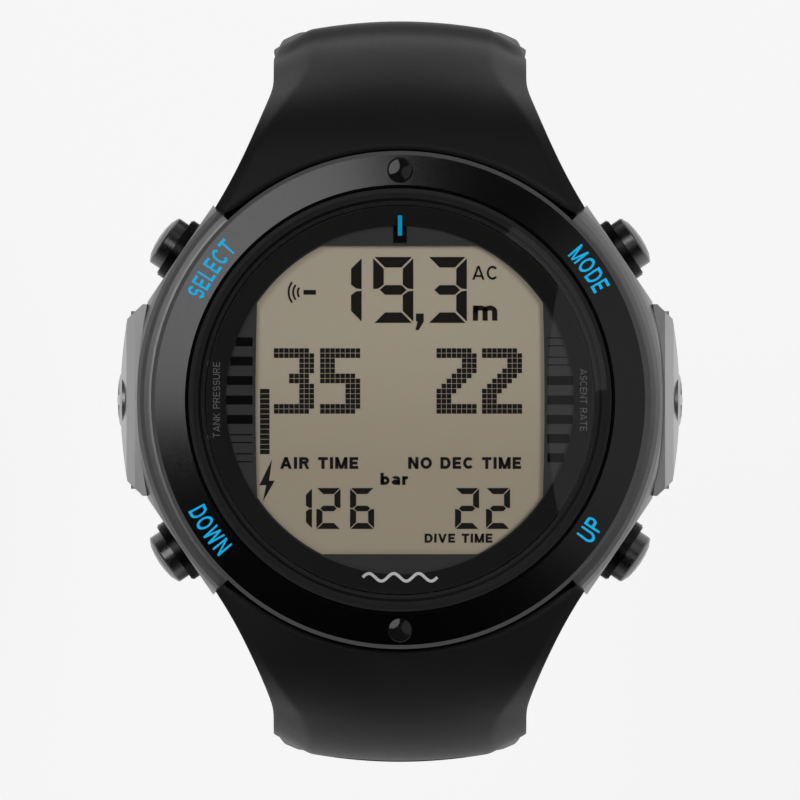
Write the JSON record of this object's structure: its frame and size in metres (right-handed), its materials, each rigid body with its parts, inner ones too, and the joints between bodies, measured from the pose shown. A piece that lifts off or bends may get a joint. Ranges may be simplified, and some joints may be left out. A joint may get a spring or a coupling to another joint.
{
  "type": "dive computer",
  "caption": "Wrist dive computer: round steel case with push buttons, black bezel, glass over a reflective segment display, and a rubber strap in two halves with a tongue buckle",
  "frame": {"origin": "centre of the case back's outer flat face, which lies on the wrist", "axes": "+Z out of the display, +Y to twelve o'clock, +X to three o'clock"},
  "size_m": [0.0502, 0.0659, 0.0892],
  "materials": {
    "case_steel": "fine brushed stainless steel",
    "guard_steel": "brushed stainless steel",
    "back_steel": "turned stainless steel",
    "screw_steel": "dark stainless steel",
    "button_steel": "dark polished stainless steel",
    "bar_steel": "stainless steel",
    "spring_steel": "spring steel",
    "buckle_steel": "brushed stainless steel",
    "bezel_coating": "satin black coating on steel",
    "plug_black": "glossy black",
    "cover_glass": "clear sapphire glass",
    "seal_rubber": "black rubber",
    "flange_black": "matte black",
    "mask_black": "matte dark grey print",
    "display_cell": "reflective liquid crystal cell",
    "display_ink": "dark liquid crystal segments",
    "print_white": "white print",
    "print_blue": "blue enamel fill",
    "print_dark": "black print",
    "light_guide": "milky light guide",
    "frame_plastic": "moulded plastic",
    "board_green": "solder resist",
    "chip_black": "moulded package",
    "cell_steel": "nickel plated",
    "contact_gold": "gold plated",
    "coil_copper": "enamelled copper",
    "buzzer_brass": "brass",
    "sensor_steel": "stainless steel",
    "plug_plastic": "black plastic",
    "strap_rubber": "black silicone rubber"
  },
  "bodies": {
    "case": {"case_middle": "case_steel", "case_back": "back_steel", "case_back_gasket": "seal_rubber", "case_back_screws": "screw_steel", "bezel": "bezel_coating", "bezel_screws": "screw_steel", "bezel_plugs": "plug_black", "glass": "cover_glass", "glass_gasket": "seal_rubber", "flange_ring": "flange_black", "dial_mask": "mask_black", "display_panel": "display_cell", "backlight": "light_guide", "module_frame": "frame_plastic", "circuit_board": "board_green", "board_components": "chip_black", "battery": "cell_steel", "battery_contact": "contact_gold", "antenna_coil": "coil_copper", "buzzer": "buzzer_brass", "pressure_sensor": "sensor_steel", "data_plug": "plug_plastic", "data_pins": "contact_gold", "side_guard_left": "guard_steel", "side_guard_right": "guard_steel", "guard_screws": "screw_steel", "port_cover_left": "guard_steel", "port_cover_right": "guard_steel", "button_collars": "button_steel", "lug_bar_12": "bar_steel", "lug_bar_6": "bar_steel", "spring_select": "spring_steel", "spring_mode": "spring_steel", "spring_down": "spring_steel", "spring_up": "spring_steel"},
    "button_select": {"button_select": "button_steel", "seal_select": "seal_rubber", "clip_select": "spring_steel"},
    "button_mode": {"button_mode": "button_steel", "seal_mode": "seal_rubber", "clip_mode": "spring_steel"},
    "button_down": {"button_down": "button_steel", "seal_down": "seal_rubber", "clip_down": "spring_steel"},
    "button_up": {"button_up": "button_steel", "seal_up": "seal_rubber", "clip_up": "spring_steel"},
    "strap_short": {"strap_short": "strap_rubber", "buckle_bar": "bar_steel", "keeper_fixed": "strap_rubber"},
    "strap_long": {"strap_long": "strap_rubber"},
    "keeper_free": {"keeper_free": "strap_rubber"},
    "buckle_frame": {"buckle_frame": "buckle_steel"},
    "buckle_tongue": {"buckle_tongue": "buckle_steel"}
  },
  "joints": [
    {"name": "press_select", "type": "slide", "parent": "case", "child": "button_select", "axis": [0.8271, -0.5621, 0], "range_m": [0, 0.0009], "stiffness_N_per_m": 2500, "springref_m": -0.0006, "deforming": ["spring_select"]},
    {"name": "press_mode", "type": "slide", "parent": "case", "child": "button_mode", "axis": [-0.8271, -0.5621, 0], "range_m": [0, 0.0009], "stiffness_N_per_m": 2500, "springref_m": -0.0006, "deforming": ["spring_mode"]},
    {"name": "press_down", "type": "slide", "parent": "case", "child": "button_down", "axis": [0.8271, 0.5621, 0], "range_m": [0, 0.0009], "stiffness_N_per_m": 2500, "springref_m": -0.0006, "deforming": ["spring_down"]},
    {"name": "press_up", "type": "slide", "parent": "case", "child": "button_up", "axis": [-0.8271, 0.5621, 0], "range_m": [0, 0.0009], "stiffness_N_per_m": 2500, "springref_m": -0.0006, "deforming": ["spring_up"]},
    {"name": "strap_short_hinge", "type": "hinge", "parent": "case", "child": "strap_short", "pos_m": [0, 0.0254, 0.005], "axis": [-1, 0, 0], "range_deg": [0, 12]},
    {"name": "strap_long_hinge", "type": "hinge", "parent": "case", "child": "strap_long", "pos_m": [0, -0.0254, 0.005], "axis": [1, 0, 0], "range_deg": [0, 12]},
    {"name": "keeper_slide", "type": "hinge", "parent": "strap_short", "child": "keeper_free", "pos_m": [0, 0.00772, -0.00896], "axis": [-1, 0, 0], "range_deg": [-24, 7]},
    {"name": "buckle_frame_hinge", "type": "hinge", "parent": "strap_short", "child": "buckle_frame", "pos_m": [0, 0.00487, -0.03317], "axis": [1, 0, 0], "range_deg": [-88, 4]},
    {"name": "buckle_tongue_hinge", "type": "hinge", "parent": "buckle_frame", "child": "buckle_tongue", "pos_m": [0, 0.00487, -0.03317], "axis": [1, 0, 0], "range_deg": [0, 33]}
  ]
}
